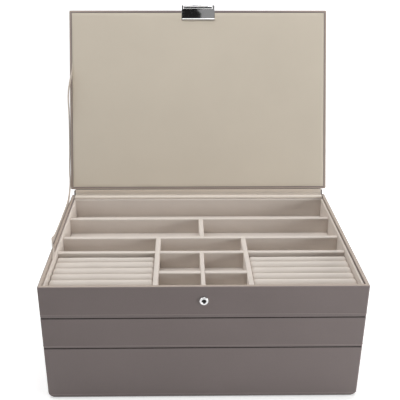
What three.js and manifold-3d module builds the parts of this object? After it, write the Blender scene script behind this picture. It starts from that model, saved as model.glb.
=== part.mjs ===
// A tiered jewelry box: three stacking trays wrapped in taupe leather and lined with velvet,
// with a hinged padded lid, a chrome flap clasp and a satin ribbon beside the lid.
// Units are millimetres, +Z is up, the front faces -Y, and the origin is the centre of the underside.
import * as THREE from 'three';
import { mergeVertices } from 'three/addons/utils/BufferGeometryUtils.js';
import Module from 'manifold-3d';

const wasm = await Module();
wasm.setup();

// Whole box
const boxWidth = 360;
const boxDepth = 250;
const bottomTrayHeight = 70;
const middleTrayHeight = 40;
const topTrayHeight = 40;
const lidThickness = 8;
const lidOpenDegrees = 112;

// Leather-wrapped cases
const caseWall = 4;
const caseFloor = 3;
const caseCornerRadius = 2;
const caseEdgeRound = 1;
const cornerSteps = 6;
const edgeSteps = 2;

// Velvet-covered boards inside each tray
const linerThickness = 2.5;
const linerDrop = 3;
const linerTopRound = 1;
const floorPadThickness = 8;
const dividerDrop = 8;
const dividerThickness = 6;
const slimDividerThickness = 5;
const dividerTopRound = 1.2;
const boardTopSteps = 5;

// Locating pads under the two upper trays, and the felt under the lowest one
const padRimGap = 0.8;
const padLinerGap = 0.3;
const feltThickness = 1;
const feltInset = 4;

// Top tray rows, measured from the front
const frontCellDepth = 36.5;
const backCellDepth = 42;
const thirdRowDepth = 32.5;
const secondRowDepth = 49.5;
const centreSectionWidth = 101;
const rearCrossOffset = 1.5;

// Ring pads
const rollCount = 6;
const rollPadSideGap = 0.6;
const rollPadRearGap = 0.8;
const rollPadFrontGap = 3.9;
const rollCrestDrop = 9.4;
const rollRise = 6;
const rollEndRun = 2.2;
const rollEndDrop = 1.4;
const rollArcSteps = 8;
const rollEndSteps = 4;

// Middle tray grid and bottom tray cells
const middleColumns = 3;
const middleRows = 3;
const bottomRearCellDepth = 92;
const bottomColumns = 3;

// Rear wall and leather hinge
const battenWidth = 5;
const battenDrop = 0.8;
const spineThickness = 0.8;
const spineLap = 12;
const spineEndInset = 1;
const liningThickness = 0.6;
const liningEndInset = 5.5;
const liningRise = 1.6;

// Lid
const lidRimGap = 0.4;
const lidRearGap = 0.3;
const lidEdgeRound = 1;
const panelMargin = 3.7;
const panelPocketDepth = 2;
const panelFit = 0.3;
const panelCrown = 0.9;
const panelCrownRun = 12;
const panelRunSteps = 4;
const panelMiddleSteps = 3;

// Clasp
const claspWidth = 46;
const claspPlateThickness = 1;
const claspFlangeDepth = 13.6;
const claspLipHeight = 2.6;
const claspFrontThickness = 2.3;
const claspFrontDrop = 0.5;
const claspFit = 0.3;
const lugThickness = 2.4;
const lugRadius = 2.3;
const pinRadius = 0.9;
const pinFit = 0.3;
const pinReach = 6.7;
const pinDrop = 5.5;
const barrelRadius = 2;
const barrelEndGap = 0.4;
const flapThickness = 1.2;
const flapLength = 29.5;
const flapCornerRadius = 4;
const flapLipHeight = 3.5;
const flapLipReach = 1.4;
const flapRestGap = 0.3;
const roundSteps = 24;

// Keeper on the front of the top tray, and the stud on the flap that enters it
const keeperDrop = 17.3;
const keeperRadius = 5.1;
const keeperStand = 2.4;
const keeperBore = 2.35;
const keeperFit = 0.3;
const keeperEdge = 0.7;
const socketWall = 0.4;
const socketRecess = 0.9;
const studRadius = 1.3;
const studLength = 3.6;
const studFlangeRadius = 2.9;
const studFlangeThickness = 0.6;

// Ribbon beside the lid
const ribbonWidth = 10;
const ribbonThickness = 0.5;
const ribbonRun = 174;
const ribbonTuck = 5;
const ribbonSlotLength = 25;
const ribbonBow = 2.4;
const ribbonFit = 0.3;
const ribbonSteps = 60;

// Levels and lines that follow from the sizes above
const middleTrayBase = bottomTrayHeight;
const topTrayBase = middleTrayBase + middleTrayHeight;
const rimHeight = topTrayBase + topTrayHeight;
const lidAxisHeight = rimHeight + lidThickness;
const lidAxisDepth = boxDepth / 2;
const innerWidth = boxWidth - 2 * caseWall;
const innerDepth = boxDepth - 2 * caseWall;
const linedHalfWidth = innerWidth / 2 - linerThickness;
const frontLine = -innerDepth / 2 + linerThickness;

// Materials
const leatherMaterial = () => new THREE.MeshStandardMaterial({ color: 0x706764, roughness: 0.55, metalness: 0 });
const velvetMaterial = () => new THREE.MeshStandardMaterial({ color: 0xcdbfb0, roughness: 0.95, metalness: 0 });
const panelMaterial = () => new THREE.MeshStandardMaterial({ color: 0xc5b9a8, roughness: 0.95, metalness: 0 });
const satinMaterial = () => new THREE.MeshStandardMaterial({ color: 0xd8cfc8, roughness: 0.45, metalness: 0 });
const chromeMaterial = () => new THREE.MeshStandardMaterial({ color: 0xd9dadb, roughness: 0.08, metalness: 1 });
const feltMaterial = () => new THREE.MeshStandardMaterial({ color: 0x4d4643, roughness: 1, metalness: 0 });
const socketMaterial = () => new THREE.MeshStandardMaterial({ color: 0x262423, roughness: 0.6, metalness: 0 });

const jewelryBox = new THREE.Group();

// Adds one named piece to a group, with its place in that group's own frame.
function addPiece(group, name, geometry, material, x = 0, y = 0, z = 0) {
  const mesh = new THREE.Mesh(geometry, material);
  mesh.name = name;
  mesh.position.set(x, y, z);
  group.add(mesh);
  return mesh;
}

// Solids that can be cut and joined
function toSolid(geometry) {
  const bare = geometry.clone();
  bare.deleteAttribute('normal');
  bare.deleteAttribute('uv');
  const merged = mergeVertices(bare);
  return new wasm.Manifold(new wasm.Mesh({
    numProp: 3,
    vertProperties: new Float32Array(merged.attributes.position.array),
    triVerts: new Uint32Array(merged.index.array),
  }));
}

function toGeometry(solid) {
  const mesh = solid.getMesh();
  const geometry = new THREE.BufferGeometry();
  geometry.setAttribute('position', new THREE.BufferAttribute(mesh.vertProperties, 3));
  geometry.setIndex(new THREE.BufferAttribute(mesh.triVerts, 1));
  return geometry;
}

// A rectangle with round corners, centred on its own origin.
function roundedRectangle(width, depth, radius) {
  const right = width / 2 - radius;
  const back = depth / 2 - radius;
  const shape = new THREE.Shape();
  shape.absarc(right, back, radius, 0, Math.PI / 2);
  shape.absarc(-right, back, radius, Math.PI / 2, Math.PI);
  shape.absarc(-right, -back, radius, Math.PI, Math.PI * 3 / 2);
  shape.absarc(right, -back, radius, Math.PI * 3 / 2, Math.PI * 2);
  return shape;
}

// An upright slab of a shape, with its underside at zero.
function slab(shape, height) {
  return new THREE.ExtrudeGeometry(shape, { depth: height, bevelEnabled: false, curveSegments: cornerSteps });
}

// A slab with its long edges rounded over, with its underside at zero.
function softSlab(width, depth, height, cornerRadius, edgeRound) {
  const outline = roundedRectangle(width - 2 * edgeRound, depth - 2 * edgeRound, cornerRadius);
  const geometry = new THREE.ExtrudeGeometry(outline, {
    depth: height - 2 * edgeRound,
    bevelEnabled: true,
    bevelThickness: edgeRound,
    bevelSize: edgeRound,
    bevelSegments: edgeSteps,
    curveSegments: cornerSteps,
  });
  geometry.translate(0, 0, edgeRound);
  return geometry;
}

// A box with its underside at zero.
function block(width, depth, height) {
  const geometry = new THREE.BoxGeometry(width, depth, height);
  geometry.translate(0, 0, height / 2);
  return geometry;
}

// A cross-section drawn in Y and Z, run along X and centred on it.
function runAlongX(section, length, steps) {
  const geometry = new THREE.ExtrudeGeometry(section, { depth: length, bevelEnabled: false, curveSegments: steps });
  const turn = new THREE.Matrix4().set(
    0, 0, 1, -length / 2,
    1, 0, 0, 0,
    0, 1, 0, 0,
    0, 0, 0, 1,
  );
  geometry.applyMatrix4(turn);
  return geometry;
}

// A covered board that runs along X, with the two long top edges rounded over.
function boardAlongX(length, thickness, height, topRound) {
  const half = thickness / 2;
  const section = new THREE.Shape();
  section.moveTo(-half, 0);
  section.lineTo(half, 0);
  section.lineTo(half, height - topRound);
  section.absarc(half - topRound, height - topRound, topRound, 0, Math.PI / 2);
  section.absarc(topRound - half, height - topRound, topRound, Math.PI / 2, Math.PI);
  section.closePath();
  return runAlongX(section, length, boardTopSteps);
}

function boardAlongY(length, thickness, height, topRound) {
  const geometry = boardAlongX(length, thickness, height, topRound);
  geometry.rotateZ(Math.PI / 2);
  return geometry;
}

// A closed pad: a grid of points on top, straight sides and a flat underside.
function padFromGrid(columns, rows, baseHeight) {
  const positions = [];
  const index = [];
  const topAt = (i, j) => j * columns.count + i;
  for (let j = 0; j < rows.count; j += 1) {
    for (let i = 0; i < columns.count; i += 1) {
      const point = columns.pointAt(i, j);
      positions.push(point.x, point.y, point.z);
    }
  }
  for (let j = 0; j < rows.count - 1; j += 1) {
    for (let i = 0; i < columns.count - 1; i += 1) {
      index.push(topAt(i, j), topAt(i + 1, j), topAt(i + 1, j + 1));
      index.push(topAt(i, j), topAt(i + 1, j + 1), topAt(i, j + 1));
    }
  }
  const rim = [];
  for (let i = 0; i < columns.count - 1; i += 1) rim.push(topAt(i, 0));
  for (let j = 0; j < rows.count - 1; j += 1) rim.push(topAt(columns.count - 1, j));
  for (let i = columns.count - 1; i > 0; i -= 1) rim.push(topAt(i, rows.count - 1));
  for (let j = rows.count - 1; j > 0; j -= 1) rim.push(topAt(0, j));
  const firstBase = positions.length / 3;
  for (const top of rim) positions.push(positions[top * 3], positions[top * 3 + 1], baseHeight);
  const middle = positions.length / 3;
  const first = columns.pointAt(0, 0);
  const last = columns.pointAt(columns.count - 1, rows.count - 1);
  positions.push((first.x + last.x) / 2, (first.y + last.y) / 2, baseHeight);
  for (let k = 0; k < rim.length; k += 1) {
    const next = (k + 1) % rim.length;
    index.push(rim[k], firstBase + k, firstBase + next);
    index.push(rim[k], firstBase + next, rim[next]);
    index.push(middle, firstBase + next, firstBase + k);
  }
  const geometry = new THREE.BufferGeometry();
  geometry.setAttribute('position', new THREE.Float32BufferAttribute(positions, 3));
  geometry.setIndex(index);
  return geometry;
}

// Trays

// The leather-wrapped case of one tray: four walls and a floor in one piece.
function caseSolid(height) {
  const outer = toSolid(softSlab(boxWidth, boxDepth, height, caseCornerRadius - caseEdgeRound, caseEdgeRound));
  const pocket = block(innerWidth, innerDepth, height);
  pocket.translate(0, 0, caseFloor);
  return outer.subtract(toSolid(pocket));
}

// Four velvet liners that stand on the case floor against its walls.
function addLiners(group, trayName, height, rearInset) {
  const linerHeight = height - caseFloor - linerDrop;
  const sideDepth = innerDepth - rearInset;
  const rear = innerDepth / 2 - rearInset - linerThickness / 2;
  const long = () => boardAlongX(innerWidth, linerThickness, linerHeight, linerTopRound);
  const short = () => boardAlongY(sideDepth - 2 * linerThickness, linerThickness, linerHeight, linerTopRound);
  const sideX = linedHalfWidth + linerThickness / 2;
  const sideY = -rearInset / 2;
  addPiece(group, `${trayName}_liner_front`, long(), velvetMaterial(), 0, frontLine - linerThickness / 2, caseFloor);
  addPiece(group, `${trayName}_liner_rear`, long(), velvetMaterial(), 0, rear, caseFloor);
  addPiece(group, `${trayName}_liner_left`, short(), velvetMaterial(), -sideX, sideY, caseFloor);
  addPiece(group, `${trayName}_liner_right`, short(), velvetMaterial(), sideX, sideY, caseFloor);
  return rear - linerThickness / 2;
}

// The velvet floor inside the liners.
function addFloorPad(group, trayName, rearLine) {
  const depth = rearLine - frontLine;
  const pad = block(2 * linedHalfWidth, depth, floorPadThickness);
  addPiece(group, `${trayName}_floor_pad`, pad, velvetMaterial(), 0, (frontLine + rearLine) / 2, caseFloor);
}

// The velvet board under an upper tray, which drops inside the rim of the tray below.
function addLocatingPad(group, trayName) {
  const thickness = linerDrop - padLinerGap;
  const width = innerWidth - 2 * padRimGap;
  const depth = innerDepth - 2 * padRimGap;
  const pad = slab(roundedRectangle(width, depth, caseCornerRadius), thickness);
  addPiece(group, `${trayName}_locating_pad`, pad, velvetMaterial(), 0, 0, -thickness);
}

// Divider boards stand on the floor pad and end below the rim.
const dividerBase = caseFloor + floorPadThickness;

function addDividerAlongX(group, name, fromX, toX, centreY, thickness, trayHeight) {
  const height = trayHeight - dividerDrop - dividerBase;
  const board = boardAlongX(toX - fromX, thickness, height, dividerTopRound);
  addPiece(group, name, board, velvetMaterial(), (fromX + toX) / 2, centreY, dividerBase);
}

function addDividerAlongY(group, name, fromY, toY, centreX, thickness, trayHeight) {
  const height = trayHeight - dividerDrop - dividerBase;
  const board = boardAlongY(toY - fromY, thickness, height, dividerTopRound);
  addPiece(group, name, board, velvetMaterial(), centreX, (fromY + toY) / 2, dividerBase);
}

// Bottom tray: the deepest, with one long cell behind and a row of cells in front.
function addBottomTray() {
  const tray = new THREE.Group();
  tray.position.z = feltThickness;
  jewelryBox.add(tray);
  const height = bottomTrayHeight - feltThickness;
  const feltShape = roundedRectangle(boxWidth - 2 * feltInset, boxDepth - 2 * feltInset, caseCornerRadius);
  addPiece(jewelryBox, 'base_felt', slab(feltShape, feltThickness), feltMaterial());
  addPiece(tray, 'bottom_case', toGeometry(caseSolid(height)), leatherMaterial());
  const rearLine = addLiners(tray, 'bottom', height, 0);
  addFloorPad(tray, 'bottom', rearLine);
  const longDividerFront = rearLine - bottomRearCellDepth - dividerThickness;
  const longDividerY = longDividerFront + dividerThickness / 2;
  addDividerAlongX(tray, 'bottom_divider_long', -linedHalfWidth, linedHalfWidth, longDividerY, dividerThickness, height);
  const cellWidth = (2 * linedHalfWidth - (bottomColumns - 1) * dividerThickness) / bottomColumns;
  for (let column = 1; column < bottomColumns; column += 1) {
    const x = -linedHalfWidth + column * cellWidth + (column - 1 / 2) * dividerThickness;
    addDividerAlongY(tray, `bottom_divider_cross_${column}`, frontLine, longDividerFront, x, dividerThickness, height);
  }
}

// Middle tray: an even grid of cells.
function addMiddleTray() {
  const tray = new THREE.Group();
  tray.position.z = middleTrayBase;
  jewelryBox.add(tray);
  addPiece(tray, 'middle_case', toGeometry(caseSolid(middleTrayHeight)), leatherMaterial());
  addLocatingPad(tray, 'middle');
  const rearLine = addLiners(tray, 'middle', middleTrayHeight, 0);
  addFloorPad(tray, 'middle', rearLine);
  const cellDepth = (rearLine - frontLine - (middleRows - 1) * dividerThickness) / middleRows;
  const cellWidth = (2 * linedHalfWidth - (middleColumns - 1) * slimDividerThickness) / middleColumns;
  for (let row = 0; row < middleRows; row += 1) {
    const cellFront = frontLine + row * (cellDepth + dividerThickness);
    if (row > 0) {
      const y = cellFront - dividerThickness / 2;
      const name = `middle_divider_long_${row}`;
      addDividerAlongX(tray, name, -linedHalfWidth, linedHalfWidth, y, dividerThickness, middleTrayHeight);
    }
    for (let column = 1; column < middleColumns; column += 1) {
      const x = -linedHalfWidth + column * cellWidth + (column - 1 / 2) * slimDividerThickness;
      const name = `middle_divider_cross_${row + 1}_${column}`;
      const cellBack = cellFront + cellDepth;
      addDividerAlongY(tray, name, cellFront, cellBack, x, slimDividerThickness, middleTrayHeight);
    }
  }
}

// A pad of velvet rolls that grip rings between them, drawn in at its ends.
function ringPad(width, depth) {
  const crest = topTrayHeight - rollCrestDrop - dividerBase;
  const groove = crest - rollRise;
  const pitch = depth / rollCount;
  const leftEnd = [];
  const rightEnd = [];
  for (let k = 0; k <= rollEndSteps; k += 1) {
    const angle = (k / rollEndSteps) * Math.PI / 2;
    const along = width / 2 - rollEndRun * (1 - Math.cos(angle));
    const drop = rollEndDrop * (1 - Math.sin(angle));
    leftEnd.push({ x: -along, drop });
    rightEnd.unshift({ x: along, drop });
  }
  const stations = [...leftEnd, ...rightEnd];
  const rowCount = rollCount * rollArcSteps + 1;
  const pointAt = (i, j) => {
    const roll = Math.min(Math.floor(j / rollArcSteps), rollCount - 1);
    const angle = Math.PI * (1 - (j - roll * rollArcSteps) / rollArcSteps);
    const centre = -depth / 2 + (roll + 1 / 2) * pitch;
    const rise = rollRise * Math.sin(angle) - stations[i].drop;
    return { x: stations[i].x, y: centre + (pitch / 2) * Math.cos(angle), z: groove + rise };
  };
  return padFromGrid({ count: stations.length, pointAt }, { count: rowCount }, 0);
}

// Top tray: the twelve cells and ring pads of the photograph, the keeper and the rear batten.
function addTopTrayDividers(tray) {
  const slimHalf = slimDividerThickness / 2;
  const frontDividerFront = frontLine + frontCellDepth;
  const thirdDividerFront = frontDividerFront + dividerThickness + backCellDepth;
  const secondDividerFront = thirdDividerFront + dividerThickness + thirdRowDepth;
  const firstDividerFront = secondDividerFront + dividerThickness + secondRowDepth;
  const sectionX = centreSectionWidth / 2 + dividerThickness / 2;
  const sectionInner = centreSectionWidth / 2;
  const sectionOuter = sectionInner + dividerThickness;
  const half = dividerThickness / 2;
  const height = topTrayHeight;
  const edge = linedHalfWidth;
  addDividerAlongX(tray, 'top_divider_rear', -edge, edge, firstDividerFront + half, dividerThickness, height);
  addDividerAlongX(tray, 'top_divider_middle', -edge, edge, secondDividerFront + half, dividerThickness, height);
  const rearCrossFront = secondDividerFront + dividerThickness;
  const crossX = rearCrossOffset;
  addDividerAlongY(tray, 'top_divider_rear_cross', rearCrossFront, firstDividerFront, crossX, dividerThickness, height);
  addDividerAlongY(tray, 'top_divider_section_left', frontLine, secondDividerFront, -sectionX, dividerThickness, height);
  addDividerAlongY(tray, 'top_divider_section_right', frontLine, secondDividerFront, sectionX, dividerThickness, height);
  const thirdY = thirdDividerFront + half;
  addDividerAlongX(tray, 'top_divider_front_left', -edge, -sectionOuter, thirdY, dividerThickness, height);
  addDividerAlongX(tray, 'top_divider_front_centre', -sectionInner, sectionInner, thirdY, dividerThickness, height);
  addDividerAlongX(tray, 'top_divider_front_right', sectionOuter, edge, thirdY, dividerThickness, height);
  addDividerAlongY(tray, 'top_divider_small_cross', frontLine, thirdDividerFront, 0, slimDividerThickness, height);
  const smallY = frontDividerFront + half;
  addDividerAlongX(tray, 'top_divider_small_left', -sectionInner, -slimHalf, smallY, dividerThickness, height);
  addDividerAlongX(tray, 'top_divider_small_right', slimHalf, sectionInner, smallY, dividerThickness, height);
  const padWidth = edge - sectionOuter - 2 * rollPadSideGap;
  const padFront = frontLine + rollPadFrontGap;
  const padRear = thirdDividerFront - rollPadRearGap;
  const padDepth = padRear - padFront;
  const padX = (edge + sectionOuter) / 2;
  const padY = (padFront + padRear) / 2;
  addPiece(tray, 'ring_pad_left', ringPad(padWidth, padDepth), velvetMaterial(), -padX, padY, dividerBase);
  addPiece(tray, 'ring_pad_right', ringPad(padWidth, padDepth), velvetMaterial(), padX, padY, dividerBase);
}

// The keeper is a chrome ring on the front wall, with a dark socket in its bore.
const keeperHeight = topTrayHeight - keeperDrop;

// A turned solid from rows of radius and reach, standing out from a wall towards the front.
function turnedFromWall(profile) {
  const points = profile.map(([radius, reach]) => new THREE.Vector2(radius, -reach));
  return new THREE.LatheGeometry(points.reverse(), roundSteps);
}

function addKeeper(tray) {
  const ring = turnedFromWall([
    [keeperBore, 0],
    [keeperRadius, 0],
    [keeperRadius, keeperStand - keeperEdge],
    [keeperRadius - keeperEdge / 2, keeperStand - keeperEdge / 2],
    [keeperRadius - keeperEdge, keeperStand],
    [keeperBore + keeperEdge, keeperStand],
    [keeperBore, keeperStand - keeperEdge],
    [keeperBore, 0],
  ]);
  addPiece(tray, 'keeper_ring', ring, chromeMaterial(), 0, -boxDepth / 2, keeperHeight);
  const socketOuter = keeperBore - keeperFit;
  const socketInner = socketOuter - socketWall;
  const socketFront = keeperStand - socketRecess;
  const socket = turnedFromWall([
    [0, 0],
    [socketOuter, 0],
    [socketOuter, socketFront],
    [socketInner, socketFront],
    [socketInner, socketWall],
    [0, socketWall],
  ]);
  addPiece(tray, 'keeper_socket', socket, socketMaterial(), 0, -boxDepth / 2, keeperHeight);
}

function addTopTray() {
  const tray = new THREE.Group();
  tray.position.z = topTrayBase;
  jewelryBox.add(tray);
  addPiece(tray, 'top_case', toGeometry(caseSolid(topTrayHeight)), leatherMaterial());
  addLocatingPad(tray, 'top');
  const rearLine = addLiners(tray, 'top', topTrayHeight, battenWidth);
  addFloorPad(tray, 'top', rearLine);
  const battenHeight = topTrayHeight - caseFloor - battenDrop;
  const battenY = innerDepth / 2 - battenWidth / 2;
  addPiece(tray, 'hinge_batten', block(innerWidth, battenWidth, battenHeight), velvetMaterial(), 0, battenY, caseFloor);
  addTopTrayDividers(tray);
  addKeeper(tray);
  const spineHeight = spineLap + lidThickness;
  const spineWidth = boxWidth - 2 * (caseCornerRadius + spineEndInset);
  const spineY = boxDepth / 2 + spineThickness / 2;
  const spine = block(spineWidth, spineThickness, spineHeight);
  addPiece(tray, 'hinge_spine', spine, leatherMaterial(), 0, spineY, topTrayHeight - spineLap);
}

// Lid, drawn closed with its hinge axis at the origin, then swung open

const lid = new THREE.Group();
lid.position.set(0, lidAxisDepth, lidAxisHeight);
lid.rotation.x = -THREE.MathUtils.degToRad(lidOpenDegrees);
jewelryBox.add(lid);

const lidUnderside = lidRimGap - lidThickness;
const lidBoardDepth = boxDepth - lidRearGap;
const lidMiddle = -boxDepth / 2 - lidRearGap / 2;
const panelWidth = boxWidth - 2 * panelMargin;
const panelDepth = boxDepth - 2 * panelMargin;
const panelMiddle = -boxDepth / 2;
const flangeEnd = claspFlangeDepth - boxDepth;

// The room that the clasp's inner flange takes, for cutting the board and the panel.
function flangeRoom(height) {
  const room = block(claspWidth + 2 * claspFit, claspFlangeDepth + 2 * claspFit, height);
  room.translate(0, -boxDepth + claspFlangeDepth / 2, 0);
  return room;
}

function addLidBoard() {
  const board = softSlab(boxWidth, lidBoardDepth, -lidUnderside, caseCornerRadius - lidEdgeRound, lidEdgeRound);
  board.translate(0, lidMiddle, lidUnderside);
  const pocket = block(panelWidth + 2 * panelFit, panelDepth + 2 * panelFit, lidThickness);
  pocket.translate(0, panelMiddle, lidUnderside + panelPocketDepth - lidThickness);
  const recess = flangeRoom(lidThickness);
  recess.translate(0, 0, lidUnderside + claspPlateThickness + claspFit - lidThickness);
  const solid = toSolid(board).subtract(toSolid(pocket)).subtract(toSolid(recess));
  addPiece(lid, 'lid_board', toGeometry(solid), leatherMaterial());
}

// The padded velvet panel: flush at its edges, and gently crowned over a short run.
function addLidPanel() {
  const stationsOf = (length) => {
    const stations = [];
    const middleRun = length - 2 * panelCrownRun;
    for (let k = 0; k <= panelRunSteps; k += 1) stations.push(-length / 2 + panelCrownRun * k / panelRunSteps);
    for (let k = 1; k < panelMiddleSteps; k += 1) {
      stations.push(-length / 2 + panelCrownRun + middleRun * k / panelMiddleSteps);
    }
    for (let k = panelRunSteps; k >= 0; k -= 1) stations.push(length / 2 - panelCrownRun * k / panelRunSteps);
    return stations;
  };
  const across = stationsOf(panelWidth);
  const along = stationsOf(panelDepth);
  const rise = (at, length) => {
    const inset = Math.min((length / 2 - Math.abs(at)) / panelCrownRun, 1);
    return (1 - Math.cos(Math.PI * inset)) / 2;
  };
  const pointAt = (i, j) => ({
    x: across[i],
    y: along[j],
    z: panelPocketDepth - panelFit + panelCrown * Math.min(rise(across[i], panelWidth), rise(along[j], panelDepth)),
  });
  const pad = padFromGrid({ count: across.length, pointAt }, { count: along.length }, 0);
  pad.rotateX(Math.PI);
  pad.translate(0, panelMiddle, lidUnderside + panelPocketDepth - panelFit);
  const room = flangeRoom(2 * lidThickness);
  room.translate(0, 0, lidUnderside - lidThickness);
  addPiece(lid, 'lid_panel', toGeometry(toSolid(pad).subtract(toSolid(room))), panelMaterial());
}

// Clasp: a chrome plate round the lid's front edge, a hinge pin and a flap with a stud

const pinY = -boxDepth - pinReach;
const pinZ = -pinDrop;

function addClaspBase() {
  const frontFace = -boxDepth - claspFit;
  const plateTop = -claspFrontDrop;
  const plateOuter = frontFace - claspFrontThickness;
  const lipRadius = claspPlateThickness;
  const section = new THREE.Shape();
  section.moveTo(plateOuter, plateTop);
  section.lineTo(plateOuter, lidUnderside);
  section.lineTo(flangeEnd - 2 * lipRadius, lidUnderside);
  section.lineTo(flangeEnd - 2 * lipRadius, lidUnderside - claspLipHeight + lipRadius);
  section.absarc(flangeEnd - lipRadius, lidUnderside - claspLipHeight + lipRadius, lipRadius, Math.PI, Math.PI * 2);
  section.lineTo(flangeEnd, lidUnderside + claspPlateThickness);
  section.lineTo(frontFace, lidUnderside + claspPlateThickness);
  section.lineTo(frontFace, plateTop);
  section.closePath();
  let base = toSolid(runAlongX(section, claspWidth, cornerSteps));
  const lugSection = new THREE.Shape();
  lugSection.absarc(pinY, pinZ, lugRadius, Math.PI / 2, Math.PI * 3 / 2);
  lugSection.lineTo(plateOuter + claspFit, pinZ - lugRadius);
  lugSection.lineTo(plateOuter + claspFit, pinZ + lugRadius);
  lugSection.closePath();
  const bore = new THREE.Path();
  bore.absarc(pinY, pinZ, pinRadius + pinFit, 0, Math.PI * 2);
  lugSection.holes.push(bore);
  for (const side of [-1, 1]) {
    const lug = runAlongX(lugSection, lugThickness, cornerSteps);
    lug.translate(side * (claspWidth - lugThickness) / 2, 0, 0);
    base = base.add(toSolid(lug));
  }
  addPiece(lid, 'clasp_base', toGeometry(base), chromeMaterial());
  const pin = new THREE.CylinderGeometry(pinRadius, pinRadius, claspWidth, roundSteps);
  pin.rotateZ(Math.PI / 2);
  addPiece(lid, 'clasp_pin', pin, chromeMaterial(), 0, pinY, pinZ);
}

// At rest the flap has swung right over and leans on the plate's upper front corner.
const leanY = -boxDepth - claspFit - claspFrontThickness - pinY;
const leanZ = -claspFrontDrop - pinZ;
const flapOuterFace = barrelRadius - flapThickness;
const leanAngle = Math.atan2(leanZ, leanY) - Math.asin((flapOuterFace - flapRestGap) / Math.hypot(leanY, leanZ));
const flapSwing = Math.PI * 3 / 2 - leanAngle;
const studHeight = (rimHeight - keeperDrop) - (lidAxisHeight + pinZ);

function addFlap() {
  const flap = new THREE.Group();
  flap.position.set(0, pinY, pinZ);
  flap.rotation.x = -flapSwing;
  lid.add(flap);
  const innerFace = barrelRadius;
  const lipStart = flapLipHeight - flapLength;
  const section = new THREE.Shape();
  section.moveTo(innerFace, 0);
  section.lineTo(innerFace, lipStart);
  section.lineTo(innerFace - flapLipReach, -flapLength);
  section.lineTo(flapOuterFace - flapLipReach, -flapLength);
  section.lineTo(flapOuterFace, lipStart);
  const seam = -Math.acos(flapOuterFace / barrelRadius);
  section.absarc(0, 0, barrelRadius, seam, 0, true);
  const bore = new THREE.Path();
  bore.absarc(0, 0, pinRadius + pinFit, 0, Math.PI * 2);
  section.holes.push(bore);
  const width = claspWidth - 2 * lugThickness - 2 * barrelEndGap;
  const sheet = toSolid(runAlongX(section, width, cornerSteps));
  const outlineHeight = flapLength + barrelRadius;
  const outlineShape = roundedRectangle(width, outlineHeight + flapCornerRadius, flapCornerRadius);
  const outline = slab(outlineShape, 2 * outlineHeight);
  outline.rotateX(Math.PI / 2);
  outline.translate(0, outlineHeight, (flapCornerRadius + barrelRadius - flapLength) / 2);
  addPiece(flap, 'clasp_flap', toGeometry(sheet.intersect(toSolid(outline))), chromeMaterial());
  const studProfile = [
    [0, 0],
    [studFlangeRadius, 0],
    [studFlangeRadius, studFlangeThickness],
    [studRadius, studFlangeThickness],
    [studRadius, studLength - studRadius / 2],
    [studRadius / 2, studLength],
    [0, studLength],
  ].map(([radius, along]) => new THREE.Vector2(radius, along));
  const stud = new THREE.LatheGeometry(studProfile, roundSteps);
  addPiece(flap, 'clasp_stud', stud, chromeMaterial(), 0, innerFace + claspFit, studHeight);
}

// Soft strips that follow the lid

// A point on the closed lid, given from its hinge axis, where it lies with the lid open.
function onOpenLid(x, y, z) {
  return new THREE.Vector3(x, y, z).applyEuler(lid.rotation).add(lid.position);
}

// A flat strip along a line of points: its width stands in the Y-Z plane, square to the line.
function stripAlong(points, width, thickness) {
  const sideways = new THREE.Vector3(1, 0, 0);
  const positions = [];
  const index = [];
  points.forEach((point, k) => {
    const before = points[Math.max(k - 1, 0)];
    const after = points[Math.min(k + 1, points.length - 1)];
    const tangent = after.clone().sub(before).normalize();
    const across = tangent.clone().cross(sideways).normalize();
    const normal = across.clone().cross(tangent).normalize();
    for (const [a, b] of [[-1, -1], [1, -1], [1, 1], [-1, 1]]) {
      const corner = point.clone().addScaledVector(across, a * width / 2).addScaledVector(normal, b * thickness / 2);
      positions.push(corner.x, corner.y, corner.z);
    }
  });
  const cornerCount = 4;
  for (let k = 0; k < points.length - 1; k += 1) {
    for (let c = 0; c < cornerCount; c += 1) {
      const here = k * cornerCount + c;
      const beside = k * cornerCount + (c + 1) % cornerCount;
      index.push(here, beside + cornerCount, beside, here, here + cornerCount, beside + cornerCount);
    }
  }
  const last = (points.length - 1) * cornerCount;
  index.push(0, 1, 2, 0, 2, 3, last, last + 2, last + 1, last, last + 3, last + 2);
  const geometry = new THREE.BufferGeometry();
  geometry.setAttribute('position', new THREE.Float32BufferAttribute(positions, 3));
  geometry.setIndex(index);
  return geometry;
}

// The satin ribbon comes out beside the lid panel, runs down the lid's left side and forward
// along the outside of the rim, then crosses the rim and ends between the wall and its liner.
// Each row: how far out from the slots, how far along the run, slot lengths back from there,
// and height in tucks.
const ribbonLidShares = [
  [0, 1, -0.04, -1],
  [0, 1, 0.46, 0],
  [0.5, 1, 0.96, 0.96],
  [1, 1, 1.65, 1],
  [1, 0.64, 0, 0.25],
  [0.72, 0.48, 0, -0.5],
  [0.72, 0.3, 0, -0.5],
  [0.72, 0.15, 0, 0],
];
const ribbonWallShares = [
  [0.8, 0.03, 0, 4],
  [0.9, 0.09, 0, 2],
  [1, 0.18, 0, 0.5],
  [1, 0.36, 0, 0],
  [1, 0.64, 0, 0],
  [1, 1, 1.5, 0.4],
  [0.6, 1, 0.9, 1.1],
  [0, 1, 0.4, 0.5],
  [0, 1, -0.2, -1],
];

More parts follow.
